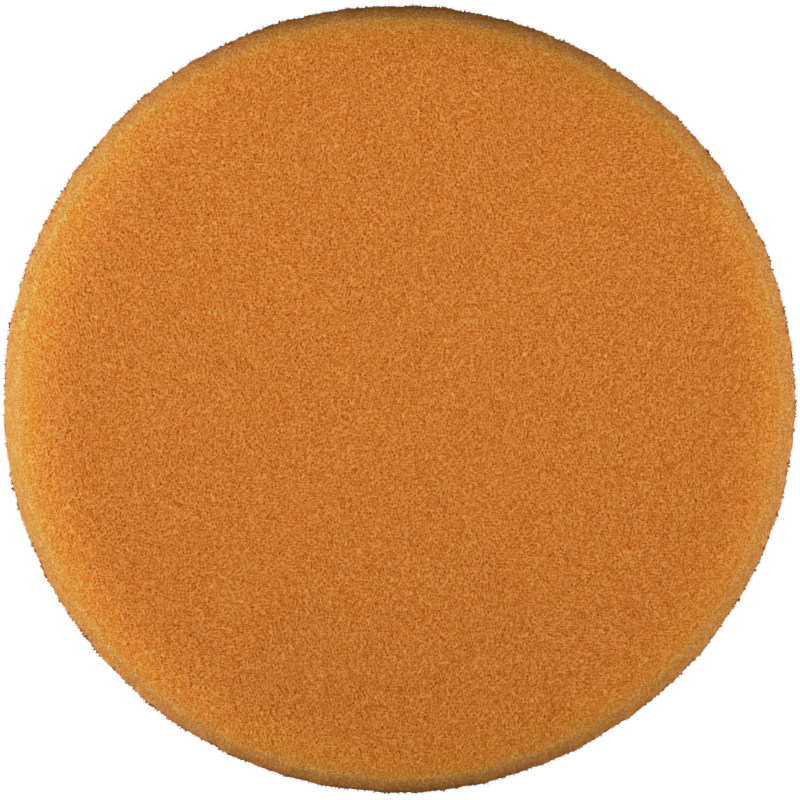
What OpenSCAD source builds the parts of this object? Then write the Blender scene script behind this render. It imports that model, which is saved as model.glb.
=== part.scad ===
// Round hook-and-loop foam polishing pad.
// It lies on its loop face with the working face up. The origin is the centre of the loop face.
// From the bottom up it is a laminate: loop pile, knitted ground, adhesive film, foam.

/* [Pad] */
// Diameter of the foam, which is the size the pad is sold by
pad_d = 150; // [75:1:230]
// Height of the whole pad, from the loop face to the working face
pad_t = 30; // [20:0.5:50]
// Radius of the ground edge round the working face
edge_r = 4.2; // [1:0.1:8]

/* [Backing] */
// How far the backing cloth stops short of the foam's flank
cloth_inset = 0.5; // [0:0.1:5]
// Thickness of the adhesive film between foam and cloth
film_t = 0.3; // [0.1:0.05:1]
// Thickness of the cloth's knitted ground
ground_t = 0.6; // [0.3:0.05:1.5]
// Height of the cloth's loop pile
pile_t = 1.8; // [0.8:0.1:3]

/* [Hidden] */

// Sides of a circle in the preview
$fn = 180;

// Radii of the foam and of the three backing layers
foam_r = pad_d / 2;
cloth_r = foam_r - cloth_inset;

// Heights of the joints between the layers
ground_z = pile_t;
film_z = ground_z + ground_t;
foam_z = film_z + film_t;
foam_t = pad_t - foam_z;

// Half of the foam's cross-section, with a true quarter round at the front edge
module foam_profile() {
    union() {
        square([foam_r, foam_t - edge_r]);
        square([foam_r - edge_r, foam_t]);
        translate([foam_r - edge_r, foam_t - edge_r])
            circle(r = edge_r);
    }
}

// The open-cell foam, which carries the polish
module foam_disc() {
    color("#C9752E")
        translate([0, 0, foam_z])
        rotate_extrude()
        foam_profile();
}

// One flat layer of the backing, from height z up
module backing_layer(z, t) {
    translate([0, 0, z])
        cylinder(r = cloth_r, h = t);
}

// Hot-melt film that bonds the cloth to the foam
module bond_film() {
    color("#D9C79A")
        backing_layer(film_z, film_t);
}

// Warp-knitted ground that holds the loops
module loop_ground() {
    color("#D5D3CC")
        backing_layer(ground_z, ground_t);
}

// Loop pile that the hooks of a backing plate catch
module loop_pile() {
    color("#E9E8E3")
        backing_layer(0, pile_t);
}

foam_disc();
bond_film();
loop_ground();
loop_pile();
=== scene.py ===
"""Looks of a round hook-and-loop foam polishing pad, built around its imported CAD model.

The foam is a closed mesh whose surface is cut through open cells. Behind it lie the adhesive film,
the knitted ground and some thousands of real loops. Lengths are in metres, in the CAD's own frame.
"""

import math

import bpy
import numpy as np
from mathutils import Euler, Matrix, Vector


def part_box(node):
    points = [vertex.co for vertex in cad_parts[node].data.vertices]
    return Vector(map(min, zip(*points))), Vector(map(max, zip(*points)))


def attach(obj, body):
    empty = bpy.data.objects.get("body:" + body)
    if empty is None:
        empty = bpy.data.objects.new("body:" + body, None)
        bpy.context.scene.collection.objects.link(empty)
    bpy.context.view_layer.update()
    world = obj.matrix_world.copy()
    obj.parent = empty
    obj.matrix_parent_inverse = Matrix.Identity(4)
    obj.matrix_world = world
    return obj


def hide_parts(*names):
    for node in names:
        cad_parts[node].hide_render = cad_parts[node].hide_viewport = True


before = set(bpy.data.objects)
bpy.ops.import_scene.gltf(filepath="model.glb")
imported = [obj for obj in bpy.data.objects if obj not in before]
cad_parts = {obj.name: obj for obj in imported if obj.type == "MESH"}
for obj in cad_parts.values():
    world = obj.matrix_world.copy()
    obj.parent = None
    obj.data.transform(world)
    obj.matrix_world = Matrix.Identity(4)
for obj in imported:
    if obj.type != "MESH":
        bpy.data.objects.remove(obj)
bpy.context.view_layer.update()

MM = 0.001
FULL_TURN = 2 * math.pi

# Sizes that the imported CAD parts give
foam_low, foam_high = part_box("foam_disc")
film_low, film_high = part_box("bond_film")
ground_low, ground_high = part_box("loop_ground")
pile_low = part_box("loop_pile")[0]
FOAM_R = foam_high[0]
CLOTH_R = ground_high[0]
FACE_Z = foam_high[2]
FOAM_BACK_Z = foam_low[2]
GROUND_Z = ground_low[2]
PAD_H = FACE_Z - pile_low[2]

# Foam: the ground edge, and the face's slight fall towards it
EDGE_R = 4.2 * MM
FLAT_R = FOAM_R - EDGE_R
CROWN_START_R = 59 * MM
CROWN_TILT = math.radians(14)
EDGE_END = FLAT_R + EDGE_R * math.pi / 2
FLANK_END = EDGE_END + FACE_Z - EDGE_R - FOAM_BACK_Z

# The foam's mesh. BACK_RINGS are the few rings of a flat back, each (share of the radius, count of points)
MESH_STEP = 0.2 * MM
BACK_RINGS = ((0.987, 480), (0.5, 60), (0.125, 12))

# The cells that the cut goes through: their pitch, the least and most depth of the cut, and how far a
# cell's centre may stray, as a share of its cube of the lattice. Walls and pits are in cell pitches
CELL_PITCH = 0.55 * MM
CELL_DEPTH = (0.10 * MM, 0.14 * MM)
CELL_SCATTER = 0.82
LATTICE_REPEAT = 96
LATTICE_TURN = (0.62, 0.41, 0.23)
WALL_W = 0.3
PIT_W = 0.6

# A cell is shallow if its random number is under the first of these, and a full pit if it is over the second
SHALLOW_TO = 0.4
DEEP_FROM = 0.8

# A shallow cell's relief, the relief between high and low struts, and the least painted highlight that a
# strut gets
CELL_FLOOR = 0.6
LOW_STRUT = 0.3
DULL_STRUT = 0.3

# Whole numbers that keep one cell's random values apart, and two cells' numbers
DEPTH_SALT = 7
PIT_SALT = 13
CELL_NUMBERS = 1024

# The outline's waves, each (count round the pad, size in mm, phase), and how they fade down the flank
OUTLINE_WAVES = (
    (2, 0.22, 0.0),
    (3, 0.10, -0.6),
    (5, 0.07, 1.9),
    (9, 0.05, 0.7),
    (17, 0.05, 0.0),
    (29, 0.06, 1.3),
    (47, 0.05, 0.2),
    (76, 0.05, 2.7),
    (121, 0.03, 0.9),
)
RIPPLE_FADE = 0.65
RIPPLE_REACH = 11 * MM

# Cut strut ends that stand out of the ground edge and the flank
FRAYS = 11000
FRAY_FROM = FLAT_R + 1.1 * EDGE_R
FRAY_TO = FLANK_END - 1 * MM
FRAY_STANDS = (0.05 * MM, 0.5 * MM)
FRAY_SHORTER = 1.4
FRAY_ROOT = 0.3 * MM
FRAY_R = 0.15 * MM
FRAY_GIRTH = (0.6, 1.1)
FRAY_TAPER = 0.45
FRAY_LEAN = 0.4
FRAY_BEND = 0.1 * MM
FRAY_BAND = 2 * MM

# Backing: the melted film's edge, and the knitted ground with its loops
FILM_WAVES = ((7, 0.05, 0.4), (31, 0.05, 1.1), (83, 0.04, 2.0), (171, 0.03, 0.3))
GROUND_WAVES = ((3, 0.06, 0.2), (11, 0.05, 2.3), (67, 0.03, 0.9))
WALE_PITCH = 1.36 * MM
COURSE_PITCH = 1.22 * MM
KNIT_DEPTH = 0.1 * MM
GROUND_STEP = 0.42 * MM
YARN_R = 0.085 * MM
LOOP_W = (0.7 * MM, 1.15 * MM)
LOOP_ROOT = 0.15 * MM
LOOP_LEAN = 0.28 * MM
LOOP_SHORTEST = 0.42
LOOP_BULGE = 0.35
LOOP_ROUND = 0.75
LOOP_STRAYS = 0.24
CUT_BAND = 0.6 * MM
CUT_LEG = 0.42

# The gap between parts of a baked image, and the width of a yarn's column on one
MAP_GAP = 1 * MM
COLUMN_W = 0.03

SEED = 20

# The rim's painted light and shade, like its other changes, run over this length of the profile, half of it
# on the flat face
RIM_SPAN = 14 * MM

# The foam's orange with painted shade from a strut's top to a deep pit, the painted highlight on bright
# struts, and the middle level
FOAM_TONES_WITH_PIT_SHADE = ((0.1, "#D97B20"), (0.45, "#D0701A"), (0.7, "#C96613"), (0.95, "#B9540B"))
STRUT_HIGHLIGHT = "#FFC26E"
MID_RELIEF = 0.45

# Painted light and shade that multiply the foam's colour along the rim, from the flat face to the flank: a
# painted yellow glow, then painted shade darkest at the outline
RIM_PAINTED_LIGHT = (
    (0.0, (1.0, 1.0, 1.0)),
    (0.36, (1.01, 1.12, 0.95)),
    (0.52, (0.95, 1.22, 1.30)),
    (0.577, (0.82, 1.27, 1.80)),
    (0.633, (0.64, 0.91, 1.52)),
    (0.70, (0.52, 0.70, 1.06)),
    (0.80, (0.37, 0.455, 0.69)),
    (0.91, (0.24, 0.22, 0.29)),
    (0.95, (0.24, 0.22, 0.29)),
    (1.0, (0.62, 0.60, 0.70)),
)

# Along the rim: how far its pattern is evened out, and how much light goes through the foam
RIM_CALM = ((0.25, 0.0), (0.55, 0.5), (0.80, 0.5), (0.95, 0.1))
RIM_SOFT = ((0.0, 0.5), (0.55, 0.95), (0.82, 0.95), (0.92, 0.5), (1.0, 0.8))

# Struts finer than the mesh, which only the material has, in its bump and its painted pit shade
STRUT_PITCH = 0.57 * MM
STRUT_TURN = (1.1, 0.5, 0.8)
STRUT_SHARE = 0.3

# Light: each softbox is (name, place, size, watts, beam in degrees). They are aimed this far from the pad's
# middle, towards the picture's top. Brightness is of the backdrop, the world's fill and the floor's bounce
LIGHT_AIM_Y = 66 * MM
SIDE_BOX = (0.35, 0.2)
SIDE_BEAM = 50
SOFTBOXES = (
    ("left_softbox", (-0.62, 0.0, 0.125), SIDE_BOX, 1.26, SIDE_BEAM),
    ("right_softbox", (0.62, 0.0, 0.125), SIDE_BOX, 0.87, SIDE_BEAM),
    ("front_softbox", (0.0, -0.62, 0.125), SIDE_BOX, 0.05, SIDE_BEAM),
    ("back_softbox", (0.0, 0.62, 0.125), SIDE_BOX, 0.03, SIDE_BEAM),
    ("top_softbox", (0.0, -0.05, 0.9), (0.35, 0.35), 0.265, 180),
)
WHITE_BACKDROP = 2.0
WORLD_FILL = 0.13
FLOOR_BOUNCE = 0.28
FLOOR_HALF = 6.0

# The film's response: brightness in and out
FILM_CURVE = ((0.125, 0.25), (0.25, 0.49), (0.4, 0.715), (0.575, 0.82), (0.8, 0.93))
FILM_WHITE = 2.0

# The camera: the share of the picture's width that the pad takes up, and how far off the pad's middle it is
PAD_SHARE = 0.98625
CAMERA_OFF = (0.2 * MM, -0.3 * MM)
LENS_MM = 100
SENSOR_MM = 36


# ---------------------------------------------------------------- meshes from arrays


def add_mesh(name, points, triangles):
    """A new smooth-shaded object from arrays of points and triangles."""
    mesh = bpy.data.meshes.new(name)
    mesh.vertices.add(len(points))
    mesh.vertices.foreach_set("co", np.ascontiguousarray(points, np.float32).ravel())
    mesh.loops.add(3 * len(triangles))
    mesh.loops.foreach_set("vertex_index", np.ascontiguousarray(triangles, np.int32).ravel())
    mesh.polygons.add(len(triangles))
    mesh.polygons.foreach_set("loop_start", np.arange(0, 3 * len(triangles), 3, dtype=np.int32))
    mesh.update(calc_edges=True)
    mesh.shade_smooth()
    piece = bpy.data.objects.new(name, mesh)
    bpy.context.scene.collection.objects.link(piece)
    return piece


def add_values(piece, name, values):
    """Stores one number for each point of the piece, for its material to read."""
    layer = piece.data.attributes.new(name, "FLOAT", "POINT")
    layer.data.foreach_set("value", np.ascontiguousarray(values, np.float32))


def stitch(inner, inner_count, outer, outer_count):
    """Triangles between two closed rings of points, given each ring's first index and its count."""
    step = np.arange(outer_count + 1)
    match = np.floor((step + 0.5) * inner_count / outer_count + 0.5).astype(np.int64)
    here, ahead = step[:-1], (step[:-1] + 1) % outer_count
    near = match[:-1] % inner_count
    fans = np.stack([inner + near, outer + here, outer + ahead], 1)
    if inner_count == 1:
        return fans
    turns = match[1:] > match[:-1]
    following = match[1:] % inner_count
    fills = np.stack([inner + near, outer + ahead, inner + following], 1)[turns]
    return np.concatenate([fans, fills])


def skin(counts):
    """Triangles over rings of points that run from one pole to the other, given each ring's count."""
    start = np.concatenate([[0], np.cumsum(counts)[:-1]])
    parts = []
    for a, b, n, m in zip(start, start[1:], counts, counts[1:]):
        parts.append(stitch(a, n, b, m) if n <= m else stitch(b, m, a, n)[:, ::-1])
    return np.concatenate(parts)


def ripple(angle, waves):
    """An uneven outline's distance outside the true circle. Each wave is (count, size in mm, phase)."""
    return MM * sum(size * np.cos(count * angle + phase) for count, size, phase in waves)


def map_yarns(piece, triangles, column, up):
    """Lays many small tubes out on the baked image, each up its own narrow column.

    Tubes may share a place, so their material may depend only on column and up, which are stored for it as
    "shade" and "up"."""
    add_values(piece, "shade", column)
    add_values(piece, "up", up)
    layer = piece.data.uv_layers.new(name="OFBake")
    layer.data.foreach_set("uv", np.stack([column[triangles], up[triangles]], 2).astype(np.float32).ravel())


def map_disc(piece, triangles, along, angle, face_end, flank_end):
    """Lays a disc's skin out flat on its baked image.

    The face is a round of radius face_end, the flank four strips beside it, and the back a small round in
    the last corner. along is each point's distance along the profile from the middle of the face."""
    face = face_end + MAP_GAP
    flank = flank_end - face_end
    side = 2 * face + 2 * (flank + MAP_GAP)
    corner = (side - 2 * face) / 2
    far, turn = along[triangles], angle[triangles]
    where = np.stack([face + far * np.cos(turn), face + far * np.sin(turn)], 2)
    middle = np.arctan2(np.sin(turn).mean(1), np.cos(turn).mean(1)) % FULL_TURN
    quarter = np.minimum(middle // (FULL_TURN / 4), 3)[:, None]
    centred = (turn - (quarter + 0.5) * FULL_TURN / 4 + math.pi) % FULL_TURN - math.pi
    run = MAP_GAP + (centred + FULL_TURN / 8) * FOAM_R
    rise = 2 * face + (quarter % 2) * (flank + MAP_GAP) + far - face_end
    strip = np.where(quarter[..., None] < 2, np.stack([run, rise], 2), np.stack([rise, run], 2))
    shrunk = np.clip(1 - (far - flank_end) / FOAM_R, 0, 1) * (corner - MAP_GAP)
    back = 2 * face + corner + np.stack([shrunk * np.cos(turn), shrunk * np.sin(turn)], 2)
    end = far.max(1)[:, None, None]
    slack = 0.001 * MM
    places = np.where(end <= face_end + slack, where, np.where(end <= flank_end + slack, strip, back))
    layer = piece.data.uv_layers.new(name="OFBake")
    layer.data.foreach_set("uv", np.ascontiguousarray(places / side, np.float32).ravel())


def tubes(paths, radii, sides):
    """Thin closed tubes along many paths at once. paths is (tubes, points, 3) and radii (tubes, points)."""
    count, length = paths.shape[:2]
    ahead = np.gradient(paths, axis=1)
    ahead /= np.linalg.norm(ahead, axis=2, keepdims=True)
    chord = paths[:, -1] - paths[:, 0] + (1e-6, 2e-6, 3e-6)
    bend = np.cross(chord, paths[:, length // 2] - paths[:, 0])
    bend /= np.linalg.norm(bend, axis=1, keepdims=True)
    across = np.cross(ahead, bend[:, None])
    across /= np.linalg.norm(across, axis=2, keepdims=True)
    up = np.cross(across, ahead)
    angle = np.arange(sides) * FULL_TURN / sides
    ring = np.cos(angle)[:, None] * across[:, :, None] + np.sin(angle)[:, None] * up[:, :, None]
    points = (paths[:, :, None] + radii[:, :, None, None] * ring).reshape(-1, 3)
    a = np.arange(length - 1)[:, None] * sides + np.arange(sides)
    b = np.arange(length - 1)[:, None] * sides + (np.arange(sides) + 1) % sides
    lower = np.stack([a, b, b + sides], 2).reshape(-1, 3)
    upper = np.stack([a, b + sides, a + sides], 2).reshape(-1, 3)
    cap = np.stack([np.zeros(sides - 2, int), np.arange(2, sides), np.arange(1, sides - 1)], 1)
    far = (length - 1) * sides + cap[:, ::-1]
    one = np.concatenate([lower, upper, cap, far])
    triangles = (np.arange(count)[:, None, None] * length * sides + one).reshape(-1, 3)
    return points, triangles


# ---------------------------------------------------------------- foam cells


def mixed(a, b):
    """A number from 0 to 1 that depends only on the two whole numbers given, in either order."""
    low, high = np.minimum(a, b).astype(np.uint64), np.maximum(a, b).astype(np.uint64)
    mix = low * np.uint64(0x9E3779B97F4A7C15) + high * np.uint64(0xC2B2AE3D27D4EB4F)
    mix ^= mix >> np.uint64(31)
    mix *= np.uint64(0xD6E8FEB86659FD93)
    mix ^= mix >> np.uint64(32)
    return (mix >> np.uint64(40)).astype(np.float64) / 2**24


def cells(points, pitch, seed):
    """For each point, its distances to the nearest two cell centres, and those cells' numbers.

    There is one centre at a random place in each cube of a lattice, so the cells are irregular foam cells.
    The lattice is turned out of line with the pad, so that its rows don't show on the face, and it repeats
    only after some centimetres."""
    turned = points @ np.array(Euler(LATTICE_TURN).to_matrix())
    centres = np.random.default_rng(seed).random((LATTICE_REPEAT,) * 3 + (3,), np.float32)
    centres = 0.5 + CELL_SCATTER * (centres - 0.5)
    place = turned / pitch
    place -= np.floor(place.min(0)) - 2
    cube = np.floor(place).astype(int)
    inside = (place - cube).astype(np.float32)
    first = np.full(len(points), 9.0, np.float32)
    second = first.copy()
    first_cell = np.zeros(len(points), np.int64)
    second_cell = first_cell.copy()
    for shift in np.ndindex(3, 3, 3):
        shift = np.array(shift) - 1
        at = cube + shift
        x, y, z = (at % LATTICE_REPEAT).T
        gap = centres[x, y, z] + shift.astype(np.float32) - inside
        apart = np.einsum("ij,ij->i", gap, gap)
        number = (at[:, 0] * CELL_NUMBERS + at[:, 1]) * CELL_NUMBERS + at[:, 2]
        nearest = apart < first
        middle = ~nearest & (apart < second)
        second = np.where(nearest, first, np.where(middle, apart, second))
        second_cell = np.where(nearest, first_cell, np.where(middle, number, second_cell))
        first = np.where(nearest, apart, first)
        first_cell = np.where(nearest, number, first_cell)
    return np.sqrt(first), np.sqrt(second), first_cell, second_cell


def smooth_step(x):
    """Eases from 0 to 1 as x does, and stays level outside them."""
    x = np.clip(x, 0, 1)
    return x * x * (3 - 2 * x)


def cut_foam(points):
    """What the cut does at each point: its depth in metres, its relief, and how strong the painted highlight
    on its strut is.

    The relief is 0 on a strut's top and 1 in a deep pit."""
    first, second, here, there = cells(points, CELL_PITCH, SEED)
    into_cell = smooth_step((second - first) / WALL_W)
    strut = mixed(here, there)
    low, high = CELL_DEPTH
    depth_here = low + (high - low) * mixed(here, here + DEPTH_SALT)
    depth_there = low + (high - low) * mixed(there, there + DEPTH_SALT)
    depth = depth_here + (depth_there - depth_here) * (1 - into_cell) / 2
    deep_cell = smooth_step((mixed(here, here + PIT_SALT) - SHALLOW_TO) / (DEEP_FROM - SHALLOW_TO))
    pit = smooth_step((second - first) / PIT_W) * deep_cell
    relief = into_cell * (CELL_FLOOR + (1 - CELL_FLOOR) * pit) + (1 - into_cell) * LOW_STRUT * (1 - strut)
    return depth * relief, relief, (1 - into_cell) * (DULL_STRUT + (1 - DULL_STRUT) * strut)


# ---------------------------------------------------------------- foam disc


def crown(radius):
    """How far the face has fallen at a radius, and the slope there. It is flat as far as CROWN_START_R."""
    span = FLAT_R - CROWN_START_R
    share = np.clip((radius - CROWN_START_R) / span, 0, 1)
    return span * CROWN_TILT * share**2.5 / 2.5, CROWN_TILT * share**1.5


def edge_place(share):
    """Radius, height and the normal's outward and upward parts, a share of the way round the edge."""
    tilt = CROWN_TILT + (math.pi / 2 - CROWN_TILT) * share
    start = math.sin(CROWN_TILT)
    r = FLAT_R + EDGE_R * (np.sin(tilt) - start) / (1 - start)
    z = FACE_Z - EDGE_R + (EDGE_R - crown(FLAT_R)[0]) * np.cos(tilt) / math.cos(CROWN_TILT)
    return r, z, np.sin(tilt), np.cos(tilt)


def outline(angle, along):
    """The foam's distance outside the true circle. Its ripple fades down the flank."""
    faded = RIPPLE_FADE * smooth_step((along - EDGE_END) / RIPPLE_REACH)
    return ripple(angle, OUTLINE_WAVES) * (1 - faded)


def foam_rows():
    """The rings of the foam's mesh, over the face, the edge, the flank and the back.

    Each is (radius, height, outward part of the normal, upward part, count of points, distance along)."""
    rings = round(FLAT_R / MESH_STEP)
    rows = []
    for k in range(rings + 1):
        r = FLAT_R * k / rings
        drop, slope = crown(r)
        rows.append((r, FACE_Z - drop, slope, 1, max(1, 6 * k), r))
    around = 6 * rings
    row_step = FULL_TURN * FOAM_R / around * math.sqrt(3) / 2
    bends = round(EDGE_R * math.pi / 2 / row_step)
    for k in range(1, bends + 1):
        rows.append((*edge_place(k / bends), around, FLAT_R + (EDGE_END - FLAT_R) * k / bends))
    flank = FACE_Z - EDGE_R - FOAM_BACK_Z
    steps = round(flank / row_step)
    for k in range(1, steps + 1):
        down = flank * k / steps
        rows.append((FOAM_R, FACE_Z - EDGE_R - down, 1, 0, around, EDGE_END + down))
    for share, n in (*BACK_RINGS, (0, 1)):
        rows.append((FOAM_R * share, FOAM_BACK_Z, 0, -1, n, FLANK_END + FOAM_R * (1 - share)))
    return rows


def small_turns(rng, radius):
    """A small random turn for each point, so that the mesh's own rings don't show in the foam."""
    swing = 0.25 * MESH_STEP * (rng.random(len(radius)) * 2 - 1)
    return np.where(radius > MESH_STEP, swing / np.maximum(radius, MESH_STEP), 0)


def make_frays():
    """The cut strut ends that stand out of the edge and the flank, closest together near the edge."""
    rng = np.random.default_rng(SEED + 2)
    near = np.arange(FRAYS) % 5 > 2
    along = rng.uniform(FRAY_FROM, np.where(near, EDGE_END + FRAY_BAND, FRAY_TO))
    angle = rng.uniform(0, FULL_TURN, FRAYS)
    r, z, out, up = edge_place(np.minimum((along - FLAT_R) / (EDGE_END - FLAT_R), 1))
    r += outline(angle, along)
    z -= np.maximum(along - EDGE_END, 0)
    around = np.stack([np.cos(angle), np.sin(angle)], 1)
    normal = np.concatenate([around * out[:, None], up[:, None]], 1)
    foot = np.concatenate([around * r[:, None], z[:, None]], 1) - FRAY_ROOT * normal
    way = normal + FRAY_LEAN * rng.normal(size=(FRAYS, 3))
    way /= np.linalg.norm(way, axis=1, keepdims=True)
    sides, rings = 4, 4
    share = np.linspace(0, 1, rings)
    short, tall = FRAY_STANDS
    length = FRAY_ROOT + short + (tall - short) * rng.random(FRAYS) ** FRAY_SHORTER
    bend = FRAY_BEND * rng.normal(size=(FRAYS, 3))
    straight = foot[:, None] + (way * length[:, None])[:, None] * share[:, None]
    paths = straight + bend[:, None] * share[:, None] ** 2
    radii = FRAY_R * rng.uniform(*FRAY_GIRTH, FRAYS)[:, None] * (1 - FRAY_TAPER * share)
    points, triangles = tubes(paths, radii, sides)
    piece = add_mesh("cut_strut_ends_painted_shade", points, triangles)
    each = len(points) // FRAYS
    tone = np.repeat(rng.random(FRAYS), each)
    across = np.tile(np.arange(each) % sides, FRAYS) / (sides - 1)
    column = (1 - COLUMN_W) * tone + COLUMN_W * across
    up = np.tile(np.arange(each) // sides / (rings - 1), FRAYS)
    map_yarns(piece, triangles, column, up)
    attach(piece, "root")
    return piece


def make_foam():
    """The open-cell foam disc: flat face, ground edge, straight flank, and a plain back on the film."""
    radius, height, out, up, count, along = (np.array(column, float) for column in zip(*foam_rows()))
    count = count.astype(int)
    start = np.concatenate([[0], np.cumsum(count)[:-1]])
    row = np.repeat(np.arange(len(count)), count)
    widest = count == count.max()
    stagger = np.where(widest, (np.arange(len(count)) - widest.argmax()) * 0.5, 0)
    angle = FULL_TURN * (np.arange(len(row)) - start[row] + stagger[row]) / count[row]
    angle += small_turns(np.random.default_rng(SEED + 1), radius[row])
    around = np.stack([np.cos(angle), np.sin(angle)], 1)
    reach = radius[row] + outline(angle, along[row]) * (radius[row] / FOAM_R) ** 3
    base = np.concatenate([around * reach[:, None], height[row][:, None]], 1)
    normal = np.concatenate([around * out[row][:, None], up[row][:, None]], 1)
    deep, relief, strut = cut_foam(base)
    # the flank's last row and the back lie on the film, so they keep their place
    on_film = height[row] <= FOAM_BACK_Z + 0.001 * MM
    points = base - normal * np.where(on_film, 0, deep)[:, None]

    triangles = skin(count)
    along = along[row]
    piece = add_mesh("open_cell_foam", points, triangles)
    # relief sets the painted shade in the pits, and strut the painted highlight on the struts
    add_values(piece, "relief", relief)
    add_values(piece, "strut", strut)
    add_values(piece, "rim", np.clip((along - FLAT_R) / RIM_SPAN + 0.5, 0, 1))
    map_disc(piece, triangles, along, angle, EDGE_END, FLANK_END)
    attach(piece, "root")
    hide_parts("foam_disc")
    return piece


# ---------------------------------------------------------------- backing


def knit(x, y):
    """The knitted ground's relief, from 0 between its wales to 1 on a stitch."""
    wale = 0.5 + 0.5 * np.cos(FULL_TURN * x / WALE_PITCH)
    side = np.abs((x / WALE_PITCH + 0.5) % 1 - 0.5)
    stitch_row = 0.5 + 0.5 * np.cos(FULL_TURN * (y / COURSE_PITCH + side))
    return wale * (0.45 + 0.55 * stitch_row)


def make_plate(name, low, high, rings, waves, relief_depth=0.0):
    """A thin disc with a rounded, uneven edge. rings are its underside's rings, each (radius, count)."""
    thick = high - low
    flat_r = CLOTH_R - thick / 2
    rows = [(0, low, 1, 0), *((r, low, n, r) for r, n in rings), (flat_r, low, rings[-1][1], flat_r)]
    edge_steps = 6
    for k in range(1, edge_steps + 1):
        tilt = math.pi * k / edge_steps
        r = flat_r + thick / 2 * math.sin(tilt)
        z = low + thick / 2 * (1 - math.cos(tilt))
        rows.append((r, z, rings[-1][1], flat_r + thick / 2 * tilt))
    edge_end = rows[-1][3]
    for share, n in (*BACK_RINGS, (0, 1)):
        rows.append((CLOTH_R * share, high, n, edge_end + CLOTH_R * (1 - share)))
    radius, height, count, along = (np.array(column, float) for column in zip(*rows))
    count = count.astype(int)
    row = np.repeat(np.arange(len(count)), count)
    start = np.concatenate([[0], np.cumsum(count)[:-1]])
    angle = FULL_TURN * (np.arange(len(row)) - start[row]) / count[row]
    reach = radius[row] + ripple(angle, waves) * (radius[row] / CLOTH_R) ** 24
    x, y = reach * np.cos(angle), reach * np.sin(angle)
    underside = along[row] <= flat_r
    z = height[row] + np.where(underside, relief_depth * (1 - knit(x, y)), 0)
    triangles = skin(count)[:, ::-1]
    piece = add_mesh(name, np.stack([x, y, z], 1), triangles)
    map_disc(piece, triangles, along[row], angle, flat_r, edge_end)
    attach(piece, "root")
    return piece


def make_film():
    """The adhesive film, whose edge melted unevenly when it was pressed."""
    rings = [(CLOTH_R / 8, 12), (CLOTH_R / 2, 60), (CLOTH_R - 1 * MM, 1440)]
    piece = make_plate("bond_film_melt", film_low[2], film_high[2], rings, FILM_WAVES)
    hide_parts("bond_film")
    return piece


def loop_places():
    """Where the loops stand: the knit's stitches, each a little out of place."""
    rng = np.random.default_rng(SEED + 3)
    across, down = math.ceil(CLOTH_R / WALE_PITCH), math.ceil(CLOTH_R / COURSE_PITCH)
    i, j = (a.ravel() for a in np.mgrid[-across : across + 1, -down : down + 1])
    x = (i + LOOP_STRAYS * rng.normal(size=len(i))) * WALE_PITCH
    y = (j + 0.5 * (i % 2) + LOOP_STRAYS * rng.normal(size=len(i))) * COURSE_PITCH
    return x, y, np.hypot(x, y)


def make_pile():
    """The standing loops, and near the rim the legs of those that the round die cut through."""
    rng = np.random.default_rng(SEED + 4)
    x, y, r = loop_places()
    whole = r < CLOTH_R - CUT_BAND
    parts = []
    for chosen, length, end in ((whole, 7, 1.0), (~whole & (r < CLOTH_R - YARN_R), 4, CUT_LEG)):
        n = int(chosen.sum())
        turn = rng.uniform(0, FULL_TURN, n)
        half = rng.uniform(*LOOP_W, n)[:, None] / 2
        tall = (GROUND_Z - pile_low[2] - YARN_R) * (1 - LOOP_SHORTEST * rng.random(n) ** 1.5)[:, None]
        lean = LOOP_LEAN * rng.normal(size=(n, 2))
        share = np.linspace(0, end, length)
        sweep = math.pi * share
        along = -np.cos(sweep) * half * (1 + LOOP_BULGE * np.sin(sweep))
        sag = np.sin(sweep) ** LOOP_ROUND
        path = np.empty((n, length, 3))
        path[..., 0] = x[chosen, None] + along * np.cos(turn)[:, None] + lean[:, :1] * sag**2
        path[..., 1] = y[chosen, None] + along * np.sin(turn)[:, None] + lean[:, 1:] * sag**2
        path[..., 2] = GROUND_Z + LOOP_ROOT - (tall + LOOP_ROOT) * sag
        parts.append((path, share, rng.random(n)))
    points, triangles, shade, places = [], [], [], []
    sides, total = 3, 0
    for path, share, tone in parts:
        n, length = path.shape[:2]
        tube_points, tube_triangles = tubes(path, np.full((n, length), YARN_R), sides)
        # each loop has its own narrow column of the baked image, as far up as the loop is long
        across = np.arange(sides) / (sides - 1) + np.zeros((n, length, 1))
        column = (1 - COLUMN_W) * tone[:, None, None] + COLUMN_W * across
        up = share[:, None] + np.zeros((n, length, sides))
        points.append(tube_points)
        triangles.append(tube_triangles + total)
        shade.append(column.ravel())
        places.append(up.ravel())
        total += len(tube_points)
    points, triangles = np.concatenate(points), np.concatenate(triangles)
    shade, up = np.concatenate(shade), np.concatenate(places)
    piece = add_mesh("loop_pile_yarns", points, triangles)
    map_yarns(piece, triangles, shade, up)
    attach(piece, "root")
    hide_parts("loop_pile")
    return piece


def make_ground():
    """The knitted ground cloth: one flat round of cloth, glued to the film and carrying the loops."""
    steps = round(CLOTH_R / GROUND_STEP)
    rings = [(CLOTH_R * k / steps, 6 * k) for k in range(1, steps)]
    piece = make_plate("loop_ground_knit", GROUND_Z, ground_high[2], rings, GROUND_WAVES, KNIT_DEPTH)
    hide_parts("loop_ground")
    return piece


# ---------------------------------------------------------------- materials


def linear(hex_colour):
    """A linear RGBA colour from an sRGB one such as "#C9752E"."""
    parts = [int(hex_colour[k : k + 2], 16) / 255 for k in (1, 3, 5)]
    return (*[p / 12.92 if p <= 0.04045 else ((p + 0.055) / 1.055) ** 2.4 for p in parts], 1.0)


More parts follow.
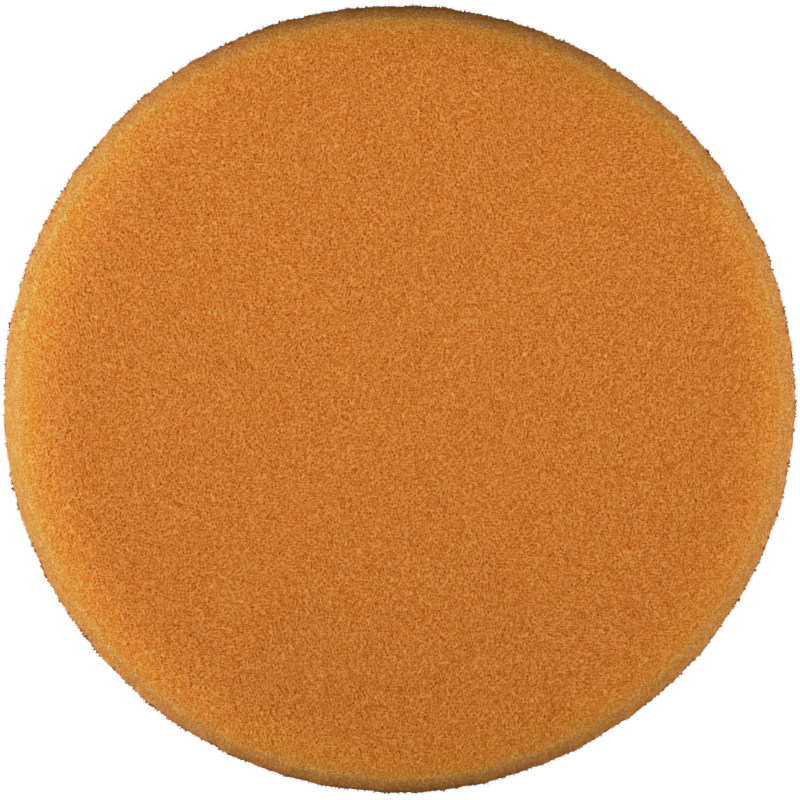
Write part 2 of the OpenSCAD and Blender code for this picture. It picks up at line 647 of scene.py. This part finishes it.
class Nodes:
    """A material's node tree, with short ways to add and join nodes."""

    def __init__(self, name):
        self.material = bpy.data.materials.new(name)
        self.material.use_nodes = True
        self.tree = self.material.node_tree
        self.shader = self.tree.nodes["Principled BSDF"]

    def add(self, kind, settings=(), **inputs):
        """A new node with its settings and its inputs' values. An underscore in a name is a space."""
        node = self.tree.nodes.new("ShaderNode" + kind)
        for key, value in dict(settings).items():
            setattr(node, key, value)
        for key, value in inputs.items():
            self.put(node.inputs[key.replace("_", " ")], value)
        return node

    def put(self, socket, value):
        """Gives an input a value, or joins another node's output to it."""
        if isinstance(value, bpy.types.NodeSocket):
            self.tree.links.new(value, socket)
        else:
            socket.default_value = value

    def ramp(self, value, *stops):
        """Colours along a value: each stop is (place, colour)."""
        node = self.add("ValToRGB", Fac=value)
        points = node.color_ramp.elements
        while len(points) < len(stops):
            points.new(0.5)
        for point, (place, colour) in zip(points, stops):
            point.position, point.color = place, colour
        return node.outputs["Color"]

    def levels(self, value, *stops):
        """Numbers along a value: each stop is (place, level)."""
        return self.ramp(value, *((place, (level, level, level, 1)) for place, level in stops))

    def mix(self, share, a, b):
        """A number between a and b."""
        return self.add("Mix", {"data_type": "FLOAT"}, Factor=share, A=a, B=b).outputs["Result"]

    def blend(self, share, a, b, way="MIX"):
        """A colour mixed from the colours a and b."""
        node = self.add("Mix", {"data_type": "RGBA", "blend_type": way})
        self.put(node.inputs["Factor"], share)
        self.put(node.inputs["A"], a)
        self.put(node.inputs["B"], b)
        return node.outputs["Result"]

    def value(self, name):
        """A number that add_values stored on the mesh."""
        return self.add("Attribute", {"attribute_name": name}).outputs["Fac"]

    def set(self, **inputs):
        """Gives the shader's own inputs their values."""
        for key, value in inputs.items():
            self.put(self.shader.inputs[key.replace("_", " ")], value)


def foam_material():
    """Orange foam, with painted shade in its pits, painted highlights on its struts, and along the rim a
    painted glow and painted shade.
    """
    nodes = Nodes("orange_foam")
    place = nodes.add("TexCoord").outputs["Object"]
    turned = nodes.add("Mapping", Vector=place, Rotation=STRUT_TURN).outputs["Vector"]
    edges = {"feature": "DISTANCE_TO_EDGE"}
    fine = nodes.add("TexVoronoi", edges, Vector=turned, Scale=1 / STRUT_PITCH, Randomness=0.75)
    strut_line = nodes.add("MapRange", Value=fine.outputs["Distance"], From_Max=0.2).outputs["Result"]
    deeper = nodes.mix(STRUT_SHARE, nodes.value("relief"), strut_line)
    rim = nodes.value("rim")
    calm = nodes.levels(rim, *RIM_CALM)
    even = nodes.mix(calm, deeper, MID_RELIEF)
    # painted shade: the foam's orange darkens from a strut's top into a deep pit
    colour = nodes.ramp(even, *((place, linear(tone)) for place, tone in FOAM_TONES_WITH_PIT_SHADE))
    # painted highlight: a lighter yellow on the brighter struts, weaker where the rim is evened out
    highlight_share = nodes.add("Math", {"operation": "MULTIPLY"})
    nodes.put(highlight_share.inputs[0], nodes.value("strut"))
    strongest = nodes.add("MapRange", Value=calm, To_Min=0.58, To_Max=0.28)
    nodes.put(highlight_share.inputs[1], strongest.outputs["Result"])
    highlighted = nodes.blend(highlight_share.outputs["Value"], colour, linear(STRUT_HIGHLIGHT))
    # painted light and shade along the rim: a yellow glow, then shade that is darkest at the outline
    shade = nodes.ramp(rim, *((place, (*tint, 1)) for place, tint in RIM_PAINTED_LIGHT))
    lit = nodes.blend(1.0, highlighted, shade, "MULTIPLY")
    soft = nodes.levels(rim, *RIM_SOFT)
    reach = nodes.add("MapRange", Value=rim, From_Min=0.4, From_Max=0.7, To_Min=0.001, To_Max=0.0016)
    rough = nodes.add("MapRange", Value=deeper, To_Min=0.85, To_Max=0.98)
    nodes.set(Base_Color=lit, Roughness=rough.outputs["Result"], Specular_IOR_Level=0.05)
    nodes.set(Subsurface_Weight=soft, Subsurface_Scale=reach.outputs["Result"])
    nodes.set(Subsurface_Radius=(4.5, 4.5, 4.5))
    nodes.set(Sheen_Weight=0.01, Sheen_Roughness=0.5, Sheen_Tint=linear("#FFE2B8"))
    bump = nodes.add("Bump", {"invert": True}, Height=deeper, Strength=0.3, Distance=0.0001)
    nodes.set(Normal=bump.outputs["Normal"])
    return nodes.material


def strut_end_shade_material():
    """The cut ends' dark brown, which is painted shade along the outline, with a random tone. It depends
    only on each point's place on the baked image.
    """
    nodes = Nodes("cut_strut_ends_painted_shade")
    place = nodes.add("CombineXYZ", X=nodes.value("shade"), Y=nodes.value("up")).outputs["Vector"]
    tone = nodes.add("TexNoise", Vector=place, Scale=30.0, Detail=3.0).outputs["Fac"]
    colour = nodes.ramp(tone, (0.3, linear("#42280F")), (0.5, linear("#663E17")), (0.7, linear("#8B5B27")))
    rough = nodes.add("MapRange", Value=tone, From_Min=0.3, From_Max=0.7, To_Min=0.8, To_Max=0.98)
    bump = nodes.add("Bump", Height=tone, Strength=0.4, Distance=0.00003)
    nodes.set(Base_Color=colour, Roughness=rough.outputs["Result"], Normal=bump.outputs["Normal"])
    nodes.set(Specular_IOR_Level=0.1)
    return nodes.material


def film_material():
    """Cloudy hot-melt film, smoother where it flowed."""
    nodes = Nodes("adhesive_film")
    place = nodes.add("TexCoord").outputs["Object"]
    cloud = nodes.add("TexNoise", Vector=place, Scale=450.0, Detail=5.0, Roughness=0.6).outputs["Fac"]
    fine = nodes.add("TexNoise", Vector=place, Scale=2600.0, Detail=3.0).outputs["Fac"]
    tones = (0.3, linear("#9C8D72")), (0.55, linear("#B9AD94")), (0.75, linear("#CFC6B2"))
    colour = nodes.ramp(cloud, *tones)
    rough = nodes.add("MapRange", Value=fine, From_Min=0.3, From_Max=0.7, To_Min=0.28, To_Max=0.6)
    bump = nodes.add("Bump", Height=cloud, Strength=0.5, Distance=0.0001)
    finer = nodes.add("Bump", Height=fine, Strength=0.3, Distance=0.00003, Normal=bump.outputs["Normal"])
    nodes.set(Base_Color=colour, Roughness=rough.outputs["Result"], Normal=finer.outputs["Normal"])
    nodes.set(Subsurface_Weight=0.4, Subsurface_Scale=0.001, Subsurface_Radius=(0.8, 0.7, 0.5))
    return nodes.material


def ground_material():
    """Knitted nylon, with yarns finer than the mesh's wales and courses."""
    nodes = Nodes("knitted_ground")
    place = nodes.add("TexCoord").outputs["Object"]
    axes = nodes.add("SeparateXYZ", Vector=place)
    warp = nodes.add("TexNoise", Vector=place, Scale=300.0, Detail=2.0).outputs["Fac"]
    bands = []
    for axis, pitch in (("X", WALE_PITCH / 3), ("Y", COURSE_PITCH / 3)):
        turns = nodes.add("Math", {"operation": "MULTIPLY_ADD"})
        nodes.put(turns.inputs[0], axes.outputs[axis])
        nodes.put(turns.inputs[1], FULL_TURN / pitch)
        nodes.put(turns.inputs[2], warp)
        bands.append(nodes.add("Math", {"operation": "SINE"}, Value=turns.outputs["Value"]).outputs["Value"])
    yarn = nodes.add("Math", {"operation": "MAXIMUM"})
    nodes.put(yarn.inputs[0], bands[0])
    nodes.put(yarn.inputs[1], bands[1])
    fibre = nodes.add("TexNoise", Vector=place, Scale=5200.0, Detail=4.0, Roughness=0.65).outputs["Fac"]
    height = nodes.mix(0.4, yarn.outputs["Value"], fibre)
    colour = nodes.ramp(height, (0.0, linear("#8A867D")), (0.4, linear("#A8A49B")), (0.8, linear("#C2BFB6")))
    rough = nodes.add("MapRange", Value=fibre, From_Min=0.3, From_Max=0.7, To_Min=0.7, To_Max=0.95)
    bump = nodes.add("Bump", Height=height, Strength=0.7, Distance=0.00008)
    nodes.set(Base_Color=colour, Roughness=rough.outputs["Result"], Normal=bump.outputs["Normal"])
    nodes.set(Sheen_Weight=0.15, Sheen_Roughness=0.5, Specular_IOR_Level=0.25)
    return nodes.material


def yarn_material():
    """The loops' nylon. It depends only on each point's place on the baked image."""
    nodes = Nodes("loop_yarn")
    shade, up = nodes.value("shade"), nodes.value("up")
    place = nodes.add("CombineXYZ", X=shade, Y=up).outputs["Vector"]
    filament = nodes.add("TexNoise", Vector=place, Scale=90.0, Detail=3.0).outputs["Fac"]
    tone = nodes.add("TexNoise", Vector=place, Scale=14.0, Detail=2.0).outputs["Fac"]
    colour = nodes.ramp(tone, (0.3, linear("#98948A")), (0.5, linear("#B2AEA4")), (0.7, linear("#CCC9C0")))
    shadow = nodes.levels(filament, (0.3, 0.86), (0.6, 1.0))
    rough = nodes.add("MapRange", Value=filament, From_Min=0.3, From_Max=0.7, To_Min=0.38, To_Max=0.62)
    bump = nodes.add("Bump", Height=filament, Strength=0.4, Distance=0.00002)
    nodes.set(Base_Color=nodes.blend(1.0, colour, shadow, "MULTIPLY"), Roughness=rough.outputs["Result"])
    nodes.set(Normal=bump.outputs["Normal"], Sheen_Weight=0.1, Specular_IOR_Level=0.4)
    return nodes.material


# ---------------------------------------------------------------- studio


def softbox(name, place, size, watts, beam):
    """A soft light aimed past the pad's middle. A grid narrows its beam to the degrees given."""
    data = bpy.data.lights.new(name, "AREA")
    data.shape = "RECTANGLE"
    data.size, data.size_y = size
    data.energy = watts
    data.spread = math.radians(beam)
    light = bpy.data.objects.new(name, data)
    light.visible_camera = False
    bpy.context.scene.collection.objects.link(light)
    light.location = place
    way = np.array((0, LIGHT_AIM_Y, PAD_H / 2)) - np.array(place)
    light.rotation_euler = (math.atan2(math.hypot(way[0], way[1]), -way[2]), 0, math.atan2(-way[0], way[1]))


def make_camera():
    """Straight above the working face, with the pad's outline almost filling the square frame."""
    view_w = 2 * FOAM_R / PAD_SHARE
    data = bpy.data.cameras.new("camera")
    data.lens, data.sensor_width = LENS_MM, SENSOR_MM
    camera = bpy.data.objects.new("camera", data)
    bpy.context.scene.collection.objects.link(camera)
    camera.location = (*CAMERA_OFF, FACE_Z - EDGE_R + view_w * LENS_MM / SENSOR_MM)
    bpy.context.scene.camera = camera


def make_floor():
    """A white floor that the camera sees as pure white, and that throws a little light up at the flank."""
    mesh = bpy.data.meshes.new("floor")
    corners = [(x * FLOOR_HALF, y * FLOOR_HALF, 0) for x, y in ((-1, -1), (1, -1), (1, 1), (-1, 1))]
    mesh.from_pydata(corners, [], [(0, 1, 2, 3)])
    floor = bpy.data.objects.new("floor", mesh)
    bpy.context.scene.collection.objects.link(floor)
    nodes = Nodes("pale_floor")
    nodes.set(Base_Color=(0.25, 0.25, 0.25, 1), Roughness=0.9, Specular_IOR_Level=0.0)
    seen = nodes.add("LightPath").outputs["Is Camera Ray"]
    glow = nodes.add("MapRange", Value=seen, To_Min=FLOOR_BOUNCE, To_Max=WHITE_BACKDROP).outputs["Result"]
    nodes.set(Emission_Color=(1, 1, 1, 1), Emission_Strength=glow)
    mesh.materials.append(nodes.material)
    floor.visible_glossy = False


def make_world():
    """An even fill light, behind which the camera sees pure white."""
    world = bpy.data.worlds.new("studio")
    world.use_nodes = True
    tree = world.node_tree
    fill = tree.nodes["Background"]
    fill.inputs["Color"].default_value = (1, 1, 1, 1)
    fill.inputs["Strength"].default_value = WORLD_FILL
    backdrop = tree.nodes.new("ShaderNodeBackground")
    backdrop.inputs["Color"].default_value = (1, 1, 1, 1)
    backdrop.inputs["Strength"].default_value = WHITE_BACKDROP
    path = tree.nodes.new("ShaderNodeLightPath")
    mix = tree.nodes.new("ShaderNodeMixShader")
    tree.links.new(path.outputs["Is Camera Ray"], mix.inputs["Fac"])
    tree.links.new(fill.outputs["Background"], mix.inputs[1])
    tree.links.new(backdrop.outputs["Background"], mix.inputs[2])
    tree.links.new(mix.outputs["Shader"], tree.nodes["World Output"].inputs["Surface"])
    bpy.context.scene.world = world


def film_curve():
    """A camera's soft shoulder: bright colours level off one channel at a time."""
    view = bpy.context.scene.view_settings
    view.view_transform = "Standard"
    view.use_curve_mapping = True
    mapping = view.curve_mapping
    mapping.white_level = (FILM_WHITE,) * 3
    curve = mapping.curves[3]
    for place in FILM_CURVE:
        curve.points.new(*place)
    mapping.update()


# ---------------------------------------------------------------- the scene

make_camera()
make_world()
make_floor()
for box in SOFTBOXES:
    softbox(*box)
film_curve()

foam = make_foam()
foam.data.materials.append(foam_material())
frays = make_frays()
frays.data.materials.append(strut_end_shade_material())
film = make_film()
film.data.materials.append(film_material())
pile = make_pile()
pile.data.materials.append(yarn_material())
ground = make_ground()
ground.data.materials.append(ground_material())
